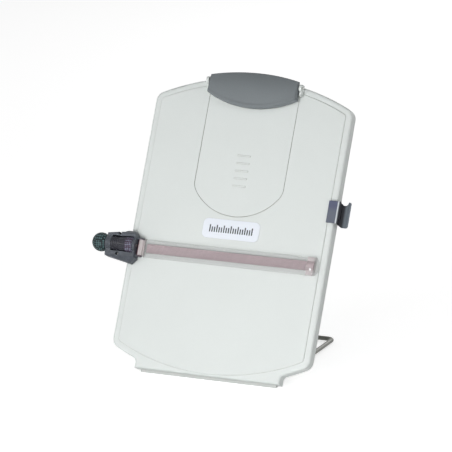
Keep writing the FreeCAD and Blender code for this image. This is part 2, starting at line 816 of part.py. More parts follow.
def make_knob():
    """Round knob with rows of dimples, pushed on the shaft."""
    shape = Part.makeSphere(KNOB_RADIUS, Vector(KNOB_X, DRUM_Y, 0))
    reach = KNOB_RADIUS + 1
    keep = box(KNOB_X - reach, KNOB_RIGHT, DRUM_Y - reach, DRUM_Y + reach, -reach, reach)
    shape = shape.common(keep)
    dimples = []
    away = KNOB_RADIUS + KNOB_DIMPLE - KNOB_DIMPLE_DEPTH
    for row in range(KNOB_ROWS):
        tilt = math.radians(-60 + 22 * row)
        count = max(4, int(KNOB_PER_ROW * math.cos(tilt)))
        for index in range(count):
            turn = 2 * math.pi * (index + row / 2) / count
            x = KNOB_X + away * math.sin(tilt)
            y = DRUM_Y + away * math.cos(tilt) * math.cos(turn)
            z = away * math.cos(tilt) * math.sin(turn)
            dimples.append(Part.makeSphere(KNOB_DIMPLE, Vector(x, y, z)))
    shape = shape.cut(dimples)
    return wound(shape.cut(rod_x(KNOB_BORE_END, KNOB_RIGHT + 1, DRUM_Y, 0, SHAFT_RADIUS)))


def carriage_front_view(y0, y1):
    """Front view of the housing: a step up at its top right and a low tip under it."""
    left = HOUSING_LEFT
    right = HOUSING_RIGHT
    corner = HOUSING_CORNER
    step_run = HOUSING_HIGH - HOUSING_STEP
    start = (left, HOUSING_LEFT_LOW)
    steps = [(HOUSING_TIP_X, HOUSING_LOW), (right, HOUSING_LOW + corner),
             (right, HOUSING_HIGH - corner - step_run), (right - corner / 2, HOUSING_HIGH - step_run),
             (right - corner, HOUSING_HIGH), (HOUSING_STEP_X + step_run / 2, HOUSING_HIGH),
             (HOUSING_STEP_X, HOUSING_STEP), (left, HOUSING_LEFT_HIGH)]
    return front_prism(start, steps, y0, y1)


def lug(low, high):
    disc = rod_z(BAR_PIN_X, BAR_PIN_Y, low, high, BAR_KNUCKLE_RADIUS)
    arm = box(HOUSING_RIGHT - LUG_ROOT, BAR_PIN_X, BAR_PIN_Y - BAR_KNUCKLE_RADIUS,
              BAR_PIN_Y + BAR_KNUCKLE_RADIUS, low, high)
    return disc.fuse(arm)


def carriage_screws():
    return [DRUM_RISE - CARRIAGE_SCREW_W, DRUM_RISE + CARRIAGE_SCREW_W]


def carriage_side_view():
    """Side view of the housing: a flat face with bevelled top and bottom."""
    middle = (HOUSING_FRONT + HOUSING_SHOULDER) / 2
    low = (HOUSING_LOW * 2 + HOUSING_FRONT_LOW) / 3
    high = (HOUSING_HIGH * 2 + HOUSING_FRONT_HIGH) / 3
    start = (HOUSING_BACK, HOUSING_LOW)
    steps = [(HOUSING_SHOULDER, HOUSING_LOW), (middle, low), (HOUSING_FRONT, HOUSING_FRONT_LOW),
             (HOUSING_FRONT, HOUSING_FRONT_HIGH), (middle, high), (HOUSING_SHOULDER, HOUSING_HIGH),
             (HOUSING_BACK, HOUSING_HIGH)]
    return side_prism(start, steps, HOUSING_LEFT, HOUSING_RIGHT)


def drum_trough():
    """Room for the drum and for its wider roller, open to the front."""
    parts = []
    step = ROLLER_LEFT - TROUGH_GAP
    for x0, x1, radius in ((LEFT_WALL_RIGHT, step, DRUM_RADIUS), (step, RIGHT_WALL_LEFT, ROLLER_RADIUS)):
        room = radius + TROUGH_GAP
        parts.append(rod_x(x0, x1, DRUM_Y, DRUM_RISE, room))
        parts.append(box(x0, x1, HOUSING_FRONT - 1, DRUM_Y, DRUM_RISE - room, DRUM_RISE + room))
    return parts


def make_carriage():
    """Housing in front of the board's edge, with the web that passes it."""
    shape = carriage_side_view().common(carriage_front_view(HOUSING_FRONT - 1, HOUSING_BACK))
    shape = rounded(shape, HOUSING_ROUND, lambda edge: edge.BoundBox.YMax < HOUSING_BACK - 1)
    web_right = -BOARD_HALF - EDGE_GAP
    web = box(WEB_LEFT, web_right, HOUSING_BACK - 1, BOARD_DEPTH + JAW_GAP, WEB_LOW, WEB_HIGH)
    pieces = [shape, web]
    pieces.append(rod_x(HOUSING_LEFT, LEFT_WALL_RIGHT, DRUM_Y, DRUM_RISE, END_DISC_RADIUS))
    pieces.append(rod_x(RIGHT_WALL_LEFT, HOUSING_RIGHT, DRUM_Y, DRUM_RISE, END_DISC_RADIUS))
    low = BAR_KNUCKLE_HALF + LUG_GAP
    pieces.append(lug(low, low + LUG_THICK))
    pieces.append(lug(-low - LUG_THICK, -low))
    shape = joined(pieces)
    for room in drum_trough():
        shape = shape.cut(room)
    shape = shape.cut(box(-BOARD_HALF - EDGE_GAP, 0, HOUSING_BACK, BOARD_DEPTH, HOUSING_LOW, HOUSING_HIGH))
    bore = SHAFT_RADIUS + RUNNING_GAP
    shape = shape.cut(rod_x(HOUSING_LEFT - 1, HOUSING_RIGHT + 1, DRUM_Y, DRUM_RISE, bore))
    for w in carriage_screws():
        shape = shape.cut(rod_y(CARRIAGE_SCREW_X, HOUSING_FRONT - 1, BOARD_DEPTH + 1, w,
                                SCREW_RADIUS + SCREW_CLEARANCE))
        shape = shape.cut(rod_y(CARRIAGE_SCREW_X, HOUSING_FRONT - 1, CARRIAGE_SCREW_SEAT, w,
                                CARRIAGE_HEAD_RADIUS + SCREW_CLEARANCE))
    shape = shape.cut(rod_z(BAR_PIN_X, BAR_PIN_Y, HOUSING_LOW, HOUSING_HIGH, BAR_PIN_RADIUS))
    return guide(shape)


def glide_pocket_depth():
    return GLIDE_GAP + GLIDE_THICK + PRESS_SPRING_RISE + LEAF_THICK - JAW_GAP


def make_rear_jaw():
    """Plate behind the board's edge, with a hook that runs inside its wall."""
    front = BOARD_DEPTH + JAW_GAP
    back = front + JAW_THICK
    shape = box(WEB_LEFT, JAW_RIGHT, front, back, WEB_LOW, WEB_HIGH)
    hook_left = -BOARD_HALF + SIDE_WALL + EDGE_GAP
    hook = box(hook_left, hook_left + HOOK_THICK, front - HOOK_DEPTH, front + 0.5,
               WEB_LOW, WEB_HIGH)
    shape = rounded(shape, 2.0, lambda edge: runs_along(edge, Vector(0, 1, 0)))
    shape = shape.fuse(hook).removeSplitter()
    pocket_right = -BOARD_HALF + SIDE_WALL
    pocket = box(-BOARD_HALF - EDGE_GAP, pocket_right, front - 1, front + glide_pocket_depth(),
                 -GLIDE_HEIGHT / 2 - 1, GLIDE_HEIGHT / 2 + 1)
    shape = shape.cut(pocket)
    for w in carriage_screws():
        shape = shape.cut(rod_y(CARRIAGE_SCREW_X, front - 1, back - 0.8, w, SCREW_RADIUS))
    return guide(shape)


def make_glide():
    """Slippery pad that the spring presses on the board's rear edge."""
    right = -BOARD_HALF + SIDE_WALL - GLIDE_GAP
    left = -BOARD_HALF - GLIDE_GAP
    front = BOARD_DEPTH + GLIDE_GAP
    return guide(box(left, right, front, front + GLIDE_THICK, -GLIDE_HEIGHT / 2, GLIDE_HEIGHT / 2))


def make_press_spring():
    """Bowed leaf between the glide pad and the floor of its pocket."""
    right = -BOARD_HALF + SIDE_WALL - GLIDE_GAP
    left = -BOARD_HALF - GLIDE_GAP
    front = BOARD_DEPTH + GLIDE_GAP + GLIDE_THICK
    rise = PRESS_SPRING_RISE
    half = GLIDE_HEIGHT / 2 - 1
    start = (front + rise, -half)
    steps = [((front, 0), (front + rise, half)), (front + rise + LEAF_THICK, half),
             ((front + LEAF_THICK, 0), (front + rise + LEAF_THICK, -half))]
    return guide(side_prism(start, steps, left, right))


def make_carriage_screws():
    tip = BOARD_DEPTH + JAW_GAP + JAW_THICK - 1.0
    screws = []
    for w in carriage_screws():
        screws.append(screw(CARRIAGE_SCREW_X, w, CARRIAGE_SCREW_SEAT, tip, -1.0, CARRIAGE_HEAD_RADIUS))
    return guide(Part.makeCompound(screws))


def make_bar_pin():
    end = BAR_KNUCKLE_HALF + LUG_GAP + LUG_THICK
    return guide(rod_z(BAR_PIN_X, BAR_PIN_Y, -end, end, BAR_PIN_RADIUS))


def make_bar():
    """Clear reading bar with a crowned lens, a flat flange and a hinge knuckle."""
    front = BAR_BACK - BAR_THICK
    strip = box(BAR_LEFT, BAR_RIGHT, front, BAR_BACK, -BAR_HALF, BAR_HALF)

    def is_end_corner(edge):
        return runs_along(edge, Vector(0, 1, 0)) and edge.BoundBox.XMin > BAR_RIGHT - 1e-3

    strip = rounded(strip, BAR_END_ROUND, is_end_corner)
    lens_middle = (BAR_LENS_LOW + BAR_LENS_HIGH) / 2
    start = (front + 0.5, BAR_LENS_LOW)
    steps = [(front, BAR_LENS_LOW), ((front - BAR_CROWN, lens_middle), (front, BAR_LENS_HIGH)),
             (front + 0.5, BAR_LENS_HIGH)]
    lens = side_prism(start, steps, BAR_CROWN_LEFT, BAR_RIGHT - BAR_END_ROUND * 0.5)
    rail = box(BAR_LEFT + 1, BAR_RIGHT - BAR_END_ROUND * 0.4, front - 0.6, front + 0.5,
               BAR_HALF - 1.2, BAR_HALF)
    knuckle = rod_z(BAR_PIN_X, BAR_PIN_Y, -BAR_KNUCKLE_HALF, BAR_KNUCKLE_HALF, BAR_KNUCKLE_RADIUS)
    web = box(BAR_PIN_X, BAR_LEFT + 1, front, BAR_BACK, -BAR_KNUCKLE_HALF, BAR_KNUCKLE_HALF)
    shape = joined([strip, lens, rail, knuckle, web])
    shape = shape.cut(rod_z(BAR_PIN_X, BAR_PIN_Y, -BAR_HALF, BAR_HALF, BAR_PIN_RADIUS + RUNNING_GAP))
    seat = box(TINT_LEFT, TINT_RIGHT, BAR_BACK - TINT_THICK, BAR_BACK + 1, BAR_LENS_LOW, BAR_LENS_HIGH)
    return guide(shape.cut(seat))


def make_tint():
    """Tinted strip let into the bar's back."""
    shape = box(TINT_LEFT + TINT_GAP, TINT_RIGHT - TINT_GAP, BAR_BACK - TINT_THICK, BAR_BACK,
                BAR_LENS_LOW + TINT_GAP, BAR_LENS_HIGH - TINT_GAP)
    return guide(shape)


def beside(shape):
    """Lift a side clip piece, drawn about z = 0, to the clip's height."""
    shape.translate(Vector(0, 0, SIDE_CLIP_Z))
    return shape


def make_side_body():
    """Slider that hugs the board's right edge and carries the clip's pin."""
    inner = BOARD_HALF + JAW_GAP
    outer = inner + SIDE_WEB_THICK
    front = BOARD_DEPTH + JAW_GAP
    back = front + SIDE_WEB_THICK
    half = SIDE_BODY_HALF
    web = box(inner, outer, SIDE_PIN_Y - SIDE_KNUCKLE_RADIUS, back, -half, half)
    plate = box(SIDE_HOOK_LEFT, outer, front, back, -half, half)
    hook_right = BOARD_HALF - SIDE_WALL - EDGE_GAP
    hook = box(hook_right - HOOK_THICK, hook_right, front - HOOK_DEPTH, front + 0.5, -half, half)
    pieces = [web, plate, hook]
    low = SIDE_KNUCKLE_HALF + LUG_GAP
    for z0, z1 in ((low, low + SIDE_LUG_THICK), (-low - SIDE_LUG_THICK, -low)):
        pieces.append(rod_z(SIDE_PIN_X, SIDE_PIN_Y, z0, z1, SIDE_LUG_RADIUS))
        pieces.append(box(outer - 1, SIDE_PIN_X, SIDE_PIN_Y - SIDE_LUG_RADIUS,
                          SIDE_PIN_Y + SIDE_LUG_RADIUS, z0, z1))
    shape = joined(pieces)
    relief = rod_z(SIDE_PIN_X, SIDE_PIN_Y, -low, low, SIDE_KNUCKLE_RADIUS + 0.4)
    shape = shape.cut(relief)
    shape = shape.cut(rod_z(SIDE_PIN_X, SIDE_PIN_Y, -half, half, SIDE_PIN_RADIUS))
    return beside(shape)


def lever_front_view():
    """Outline of the finger lever: round corners at the right and a notch in its top."""
    left = LEVER_LEFT
    right = LEVER_RIGHT
    corner = LEVER_CORNER
    turn = corner * (1 - math.sqrt(0.5))
    high = LEVER_HIGH
    low = LEVER_LOW
    notch_right = left + LEVER_NOTCH * 2
    start = (left, LEVER_LEFT_LOW)
    steps = [(left + corner, low), (right - corner, low),
             ((right - turn, low + turn), (right, low + corner)), (right, high - corner),
             ((right - turn, high - turn), (right - corner, high)), (notch_right, high),
             ((left + LEVER_NOTCH, high - LEVER_NOTCH), (left, high))]
    return front_prism(start, steps, TAB_FRONT - 1, SIDE_PIN_Y + LEVER_SAG + LEVER_WALL)


def make_side_jaw():
    """Flat tab over the rim, joined round the edge to a hollow finger lever."""
    tab = box(TAB_LEFT, TAB_RIGHT, TAB_FRONT, TAB_BACK, -TAB_HALF, TAB_HALF)
    neck_half = SIDE_KNUCKLE_HALF
    neck_right = SIDE_PIN_X + SIDE_KNUCKLE_RADIUS
    wall = LEVER_WALL
    drop = box(neck_right - wall - 1, neck_right, TAB_FRONT + wall / 2, SIDE_PIN_Y, -neck_half, neck_half)
    middle = (LEVER_LEFT + LEVER_RIGHT) / 2
    start = (LEVER_LEFT, TAB_FRONT)
    steps = [((middle, LEVER_SAG), (LEVER_RIGHT - wall, LEVER_FRONT)), (LEVER_RIGHT, LEVER_FRONT),
             ((middle, LEVER_SAG + wall), (LEVER_LEFT, TAB_BACK))]
    channel = top_prism(start, steps, LEVER_LOW, LEVER_HIGH).common(lever_front_view())
    pieces = [tab, drop, channel]
    for z0, z1 in ((SIDE_SPRING_HALF, neck_half), (-neck_half, -SIDE_SPRING_HALF)):
        pieces.append(rod_z(SIDE_PIN_X, SIDE_PIN_Y, z0, z1, SIDE_KNUCKLE_RADIUS))
    shape = pieces[0].fuse(pieces[1:])
    around = SIDE_KNUCKLE_RADIUS + SIDE_SPRING_GAP
    shape = shape.cut(rod_z(SIDE_PIN_X, SIDE_PIN_Y, -SIDE_SPRING_HALF, SIDE_SPRING_HALF, around))
    return beside(shape.cut(rod_z(SIDE_PIN_X, SIDE_PIN_Y, -neck_half - 1, neck_half + 1,
                                  SIDE_PIN_RADIUS + RUNNING_GAP)))


def make_side_spring():
    """Torsion coil between the jaw's two knuckles."""
    turns = int(2 * (SIDE_SPRING_HALF - 0.6) / SIDE_SPRING_PITCH)
    shape = coil(Vector(0, 0, 0), turns, SIDE_SPRING_PITCH, SIDE_SPRING_RADIUS, SPRING_WIRE)
    shape.rotate(Vector(0, 0, 0), Vector(0, 1, 0), -90)
    shape.translate(Vector(SIDE_PIN_X, SIDE_PIN_Y, 0))
    return beside(shape)


def make_side_pin():
    end = SIDE_KNUCKLE_HALF + LUG_GAP + SIDE_LUG_THICK
    return beside(rod_z(SIDE_PIN_X, SIDE_PIN_Y, -end, end, SIDE_PIN_RADIUS))


def make_hinge_block(side):
    """Block that carries one end of the stand's axle, with a screwed tab."""
    x0, x1 = sorted((side * BLOCK_LEFT, side * (BLOCK_LEFT + BLOCK_WIDTH)))
    block = box(x0, x1, FRONT_WALL, BLOCK_BACK, SIDE_WALL, BLOCK_TOP)
    block = rounded(block, 2.0, lambda edge: runs_along(edge, Vector(1, 0, 0))
                    and edge.BoundBox.YMin > BLOCK_BACK - 0.01)
    tab = box(x0, x1, POST_BACK, POST_BACK + TAB_THICK, BLOCK_TOP - 1, TAB_TOP)
    shape = block.fuse(tab).removeSplitter()
    x = side * (BLOCK_LEFT + BLOCK_WIDTH / 2)
    hole_z = (BLOCK_TOP + TAB_TOP) / 2
    shape = shape.cut(rod_y(x, POST_BACK - 1, BOARD_DEPTH, hole_z, SCREW_RADIUS + SCREW_CLEARANCE))
    return shape.cut(rod_x(x0 - 1, x1 + 1, STAND_PIVOT_Y, STAND_PIVOT_Z, WIRE_RADIUS + RUNNING_GAP))


def make_hinge_screws():
    seat = POST_BACK + TAB_THICK
    z = (BLOCK_TOP + TAB_TOP) / 2
    screws = []
    for side in (-1, 1):
        screws.append(screw(side * (BLOCK_LEFT + BLOCK_WIDTH / 2), z, seat, FRONT_WALL + 0.3))
    return Part.makeCompound(screws)


def stand_points():
    """Route of the stand's wire in desk coordinates, from axle end to axle end."""
    near_y, near_z = on_desk(STAND_PIVOT_Y, STAND_PIVOT_Z)
    far_z = SLEEVE_RADIUS
    far_y = near_y + math.sqrt(STAND_REACH ** 2 - (near_z - far_z) ** 2)
    half = [Vector(-STAND_AXLE_INNER, near_y, near_z), Vector(-STAND_NEAR_HALF, near_y, near_z),
            Vector(-STAND_FAR_HALF, far_y, far_z)]
    mirrored = [Vector(-point.x, point.y, point.z) for point in reversed(half)]
    return half + mirrored


def bent_tube(points, bends, radius):
    """Tube along straight runs joined by tangent arcs."""
    edges = []
    here = points[0]
    for index in range(1, len(points) - 1):
        corner = points[index]
        before = (points[index - 1] - corner).normalize()
        after = (points[index + 1] - corner).normalize()
        angle = before.getAngle(after)
        bend = bends[index - 1]
        back_off = bend / math.tan(angle / 2)
        entry = corner + before * back_off
        leave = corner + after * back_off
        inward = (before + after).normalize()
        centre = corner + inward * (bend / math.sin(angle / 2))
        middle = centre - inward * bend
        edges.append(Part.makeLine(here, entry))
        edges.append(Part.Arc(entry, middle, leave).toShape())
        here = leave
    edges.append(Part.makeLine(here, points[-1]))
    start_direction = points[1] - points[0]
    profile = Part.Wire(Part.makeCircle(radius, points[0], start_direction))
    return Part.Wire(edges).makePipeShell([profile], True, False)


def make_stand():
    bends = [STAND_NEAR_BEND, STAND_BEND, STAND_BEND, STAND_NEAR_BEND]
    return bent_tube(stand_points(), bends, WIRE_RADIUS)


def make_sleeves():
    """Two rubber tubes on the cross-bar that stand on the desk."""
    far = stand_points()[2]
    sleeves = []
    for side in (-1, 1):
        x0 = side * SLEEVE_X - SLEEVE_LENGTH / 2
        x1 = x0 + SLEEVE_LENGTH
        tube = rod_x(x0, x1, far.y, far.z, SLEEVE_RADIUS)
        sleeves.append(tube.cut(rod_x(x0 - 1, x1 + 1, far.y, far.z, WIRE_RADIUS)))
    return Part.makeCompound(sleeves)


def write(name, shape):
    if not shape.isValid():
        print("not valid:", name)
    box_of = shape.BoundBox
    print("%-20s solids %d volume %.0f  %.1f..%.1f  %.1f..%.1f  %.1f..%.1f" % (
        name, len(shape.Solids), shape.Volume, box_of.XMin, box_of.XMax,
        box_of.YMin, box_of.YMax, box_of.ZMin, box_of.ZMax))
    shape.exportStep("parts/" + name + ".step")


def main():
    os.makedirs("parts", exist_ok=True)
    leaning = {
        "board_shell": make_board,
        "foot_strip": make_foot_strip,
        "label_plate": make_label,
        "extension_slide": make_slide,
        "slide_retainer": make_retainer,
        "slide_spring": make_slide_spring,
        "retainer_screws": make_slide_screws,
        "clip_hinge_pin": make_clip_pin,
        "top_clip": make_clip,
        "clip_pad": make_clip_pad,
        "clip_springs": make_clip_springs,
        "roller_shaft": make_shaft,
        "drum": make_drum,
        "drive_roller": make_roller,
        "knob": make_knob,
        "carriage_housing": make_carriage,
        "rear_jaw": make_rear_jaw,
        "glide_pad": make_glide,
        "press_spring": make_press_spring,
        "carriage_screws": make_carriage_screws,
        "bar_hinge_pin": make_bar_pin,
        "guide_bar": make_bar,
        "tint_strip": make_tint,
        "side_clip_body": make_side_body,
        "side_clip_jaw": make_side_jaw,
        "side_clip_pin": make_side_pin,
        "side_clip_spring": make_side_spring,
        "stand_hinge_left": lambda: make_hinge_block(-1),
        "stand_hinge_right": lambda: make_hinge_block(1),
        "hinge_screws": make_hinge_screws,
    }
    for name, make in leaning.items():
        write(name, lean(make()))
    write("wire_stand", make_stand())
    write("stand_sleeves", make_sleeves())


main()
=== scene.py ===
import math

import bmesh
import bpy
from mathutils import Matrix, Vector


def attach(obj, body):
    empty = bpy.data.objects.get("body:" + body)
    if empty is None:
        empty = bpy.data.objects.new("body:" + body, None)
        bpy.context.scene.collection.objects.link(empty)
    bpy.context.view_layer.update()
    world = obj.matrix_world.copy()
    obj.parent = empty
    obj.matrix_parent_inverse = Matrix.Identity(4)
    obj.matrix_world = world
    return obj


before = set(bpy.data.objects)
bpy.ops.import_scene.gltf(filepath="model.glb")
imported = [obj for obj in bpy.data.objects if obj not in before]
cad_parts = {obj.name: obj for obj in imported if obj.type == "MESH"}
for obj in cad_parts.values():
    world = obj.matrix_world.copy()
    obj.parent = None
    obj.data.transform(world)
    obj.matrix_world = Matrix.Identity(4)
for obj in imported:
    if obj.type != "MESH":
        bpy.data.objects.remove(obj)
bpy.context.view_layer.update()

# Camera: the photograph's angle in degrees, its lens in millimetres and places in metres
AZIMUTH = 22.95
ELEVATION = 14.45
DISTANCE = 4.5944
LENS = 318.58
SENSOR = 36.0
CLIP_NEAR = 0.05
CLIP_FAR = 200.0
TARGET = Vector((0, 0.07062, 0.15124))
AIM_LEFT = 0.00757
AIM_UP = 0.01252

# Soft boxes: name, place and width in metres, power in watts
LAMPS = (
    ("key", (-0.9, -1.9, 1.1), 1.0, 10.6),
    ("low_fill", (0.1, -0.95, 0.06), 0.5, 8.8),
    ("side_fill", (1.7, -0.6, 1.0), 0.8, 4.0),
    ("back_fill", (0.6, 2.3, 1.3), 1.2, 16.0),
)

# World and floor
AMBIENT = 0.28
BACKDROP = 1.0
FLOOR_HALF = 30.0
FLOOR_COLOUR = 0.82
FLOOR_LIFT = 0.60

# How textures are drawn out: evenly, ten times along x, ten times along y
EVEN = (1, 1, 1)
ALONG_X = (0.1, 1, 1)
ALONG_Y = (1, 0.1, 1)

# Rounded edges: samples, and the dot products of both normals where an edge is full and ends
ROUNDING_SAMPLES = 6
EDGE_DOTS = (0.80, 0.99)

# Painted shade in corners: samples, reach in metres, and the openness where the shade is full and
# ends
CORNER_SHADE_SAMPLES = 8
CORNER_SHADE_REACH = 0.0016
CORNER_SHADE_OPENNESS = (0.35, 0.8)

# Moulded surfaces: patches of edge colour, which is wear and on the dark housing, carriage and drum
# a painted highlight, and of sheen, in metres, how much they change, and specks, whose size is in
# grains and whose depth is in drifts
WEAR_AND_SHADING_PATCH = 0.006
WEAR_AND_SHADING_LEAST = 0.2
SHEEN_PATCH = 0.02
SHEEN_DOWN = 0.05
SHEEN_UP = 0.06
SPECK_SIZE = 2
SPECK_DEPTH = 2
GRAIN_STRENGTH = 0.5

# Clear acrylic: size of its flow, smears and waves in metres, the last with depth and strength
FLOW_SIZE = 0.03
SMEAR_SIZE = 0.012
WAVE_SIZE = 0.02
WAVE_DEPTH = 0.00005
WAVE_STRENGTH = 0.3
CLEAR_ROUGHNESS = (0.10, 0.22)
CLEAR_ROUND = 0.0004

# Part of a painted highlight spot on rubber that has its full colour
SPOT_CORE = 0.6

# Shares that lie before and past a piece's ends
BEFORE = -1.0
PAST = 1.2

# Carriage's bearing wall, where dark red is painted for the bar's rose tint seen through its clear
# acrylic, as shares of its width and height
CARRIAGE_WALL = 0.90
WALL_HIGH = (0.36, 0.78)
WALL_HIGH_SOFT = 0.08

# Side jaw's bend with its painted highlight, hollow with its painted shade, and lip, as shares of
# its width
JAW_BEND = 0.405
JAW_BEND_SOFT = 0.015
JAW_HOLLOW = 0.46
JAW_LIP = 0.72
JAW_LIP_SOFT = 0.06

# Side jaw's darker, bluer top, a painted shade, as a share of its height
JAW_TOP = 0.70
JAW_TOP_SOFT = 0.1

# Painted red edge for the rose tint seen through the acrylic, knuckle, end cap, its rib and a
# painted highlight on it, as shares of the bar's length
BAR_RED_EDGE = 0.008
BAR_COLLAR = 0.035
BAR_CAP = (0.932, 0.974)
BAR_RIB = (0.976, 0.983)
BAR_GLINT = (0.953, 0.965)
BAND_SOFT = 0.004
LINE_SOFT = 0.003
GLINT_SOFT = 0.002

# Painted highlight on the end cap, as shares of the bar's height
GLINT_HIGH = (0.28, 0.44)
GLINT_HIGH_SOFT = 0.05

# How solid the bar is: its open faces, its edges, the knuckle and the cap
FACE_ALPHA = 0.12
EDGE_ALPHA = 0.5
COLLAR_ALPHA = 0.92
CAP_ALPHA = 0.42

# Board frame, as in the part's source: x across, y backwards from its face, z up it
RECLINE = math.radians(26.2)
BOARD_DEPTH = 0.0140
STRIP_LIFT = 0.0008
STRIP_WIDTH = 0.0050
FOOT_Z = BOARD_DEPTH * math.sin(RECLINE) + STRIP_LIFT
FOOT_Y = FOOT_Z * math.tan(RECLINE) - (BOARD_DEPTH - STRIP_WIDTH / 2) / math.cos(RECLINE)

# Label's middle and face in the board frame, the scale printed on it and its ink
LABEL_Z = 0.1710
LABEL_FACE = -0.0004
SCALE_STEPS = 18
SCALE_PITCH = 0.0029
SCALE_MARK = 0.0015
SCALE_LONG = 0.0086
SCALE_SHORT = 0.0062
SCALE_EVERY = 3
INK_PROUD = 0.00008
INK_SUNK = 0.0001
INK_ROUND = 0.00008
INK_EDGE = 1.35


def on_board(x, y, z):
    """Row-frame point of a place on the leaned board."""
    back = FOOT_Y + z * math.sin(RECLINE) + y * math.cos(RECLINE)
    up = FOOT_Z + z * math.cos(RECLINE) - y * math.sin(RECLINE)
    return Vector((x, back, up))


def paint(red, green, blue):
    """Linear colour from an 8-bit display colour."""
    linear = []
    for value in (red, green, blue):
        share = value / 255
        low = share <= 0.04045
        linear.append(share / 12.92 if low else ((share + 0.055) / 1.055) ** 2.4)
    return (*linear, 1.0)


def scaled(colour, factor):
    """The same colour, lighter or darker."""
    return (*(min(1.0, value * factor) for value in colour[:3]), 1.0)


def new_material(name):
    """A material with its tree and its shader."""
    material = bpy.data.materials.new(name)
    material.use_nodes = True
    tree = material.node_tree
    return material, tree, tree.nodes["Principled BSDF"]


def base_of(material):
    """A material's tree and shader, and what feeds the shader's base colour."""
    tree = material.node_tree
    shader = tree.nodes["Principled BSDF"]
    return tree, shader, shader.inputs["Base Color"].links[0].from_socket


def noise(tree, size, detail, stretch=EVEN):
    """Noise from 0 to 1 whose features measure about size metres."""
    place = tree.nodes.new("ShaderNodeTexCoord")
    mapping = tree.nodes.new("ShaderNodeMapping")
    mapping.inputs["Scale"].default_value = stretch
    field = tree.nodes.new("ShaderNodeTexNoise")
    field.inputs["Scale"].default_value = 1 / size
    field.inputs["Detail"].default_value = detail
    tree.links.new(place.outputs["Object"], mapping.inputs["Vector"])
    tree.links.new(mapping.outputs["Vector"], field.inputs["Vector"])
    return field.outputs["Fac"]


def ranged(tree, value, low, high, start=0.3, stop=0.7):
    """Map a value from start..stop, by default where noise mostly lies, to low..high."""
    node = tree.nodes.new("ShaderNodeMapRange")
    node.inputs["From Min"].default_value = start
    node.inputs["From Max"].default_value = stop
    node.inputs["To Min"].default_value = low
    node.inputs["To Max"].default_value = high
    tree.links.new(value, node.inputs["Value"])
    return node.outputs["Result"]


def mixed(tree, factor, first, second):
    """Mix two colours, each a tuple or a socket."""
    node = tree.nodes.new("ShaderNodeMix")
    node.data_type = "RGBA"
    tree.links.new(factor, node.inputs[0])
    for socket, colour in ((node.inputs[6], first), (node.inputs[7], second)):
        if isinstance(colour, tuple):
            socket.default_value = colour
        else:
            tree.links.new(colour, socket)
    return node.outputs[2]


def layered(tree, shader, body, layers):
    """Feed the shader a colour with others laid over it, each where its mask is 1."""
    for mask, colour in layers:
        body = mixed(tree, mask, body, colour)
    tree.links.new(body, shader.inputs["Base Color"])


def times(tree, first, second):
    """Product of a socket and a socket or a number."""
    node = tree.nodes.new("ShaderNodeMath")
    node.operation = "MULTIPLY"
    tree.links.new(first, node.inputs[0])
    if isinstance(second, float):
        node.inputs[1].default_value = second
    else:
        tree.links.new(second, node.inputs[1])
    return node.outputs[0]


def larger(tree, first, second):
    """The larger of two sockets."""
    node = tree.nodes.new("ShaderNodeMath")
    node.operation = "MAXIMUM"
    tree.links.new(first, node.inputs[0])
    tree.links.new(second, node.inputs[1])
    return node.outputs[0]


def open_places(tree):
    """0 in corners and slots, 1 in the open: the mask of the painted shade in corners."""
    node = tree.nodes.new("ShaderNodeAmbientOcclusion")
    node.samples = CORNER_SHADE_SAMPLES
    node.inputs["Distance"].default_value = CORNER_SHADE_REACH
    return ranged(tree, node.outputs["AO"], 0.0, 1.0, *CORNER_SHADE_OPENNESS)


def rounding(tree, radius):
    """Normal that rounds the edges off, and a mask that is 1 on them."""
    bevel = tree.nodes.new("ShaderNodeBevel")
    bevel.samples = ROUNDING_SAMPLES
    bevel.inputs["Radius"].default_value = radius
    geometry = tree.nodes.new("ShaderNodeNewGeometry")
    dot = tree.nodes.new("ShaderNodeVectorMath")
    dot.operation = "DOT_PRODUCT"
    tree.links.new(bevel.outputs["Normal"], dot.inputs[0])
    tree.links.new(geometry.outputs["Normal"], dot.inputs[1])
    mask = ranged(tree, dot.outputs["Value"], 1.0, 0.0, *EDGE_DOTS)
    return bevel.outputs["Normal"], mask


def across(tree, start, stop, soft=0.02, axis="X"):
    """1 between two shares of a piece's width or height, with soft ends."""
    place = tree.nodes.new("ShaderNodeTexCoord")
    split = tree.nodes.new("ShaderNodeSeparateXYZ")
    tree.links.new(place.outputs["Generated"], split.inputs[0])
    share = split.outputs[axis]
    return times(tree, ranged(tree, share, 0.0, 1.0, start - soft, start + soft),
                 ranged(tree, share, 1.0, 0.0, stop - soft, stop + soft))


def spots(tree, pitch, size, disorder):
    """1 on round spots about pitch metres apart, 0 between them."""
    place = tree.nodes.new("ShaderNodeTexCoord")
    cells = tree.nodes.new("ShaderNodeTexVoronoi")
    cells.inputs["Scale"].default_value = 1 / pitch
    cells.inputs["Randomness"].default_value = disorder
    tree.links.new(place.outputs["Object"], cells.inputs["Vector"])
    return ranged(tree, cells.outputs["Distance"], 1.0, 0.0, size * SPOT_CORE, size)


def bump(tree, shader, height, depth, strength, normal):
    """Raise the surface by a height field of the given depth in metres."""
    node = tree.nodes.new("ShaderNodeBump")
    node.inputs["Distance"].default_value = depth
    node.inputs["Strength"].default_value = strength
    tree.links.new(height, node.inputs["Height"])
    tree.links.new(normal, node.inputs["Normal"])
    tree.links.new(node.outputs["Normal"], shader.inputs["Normal"])


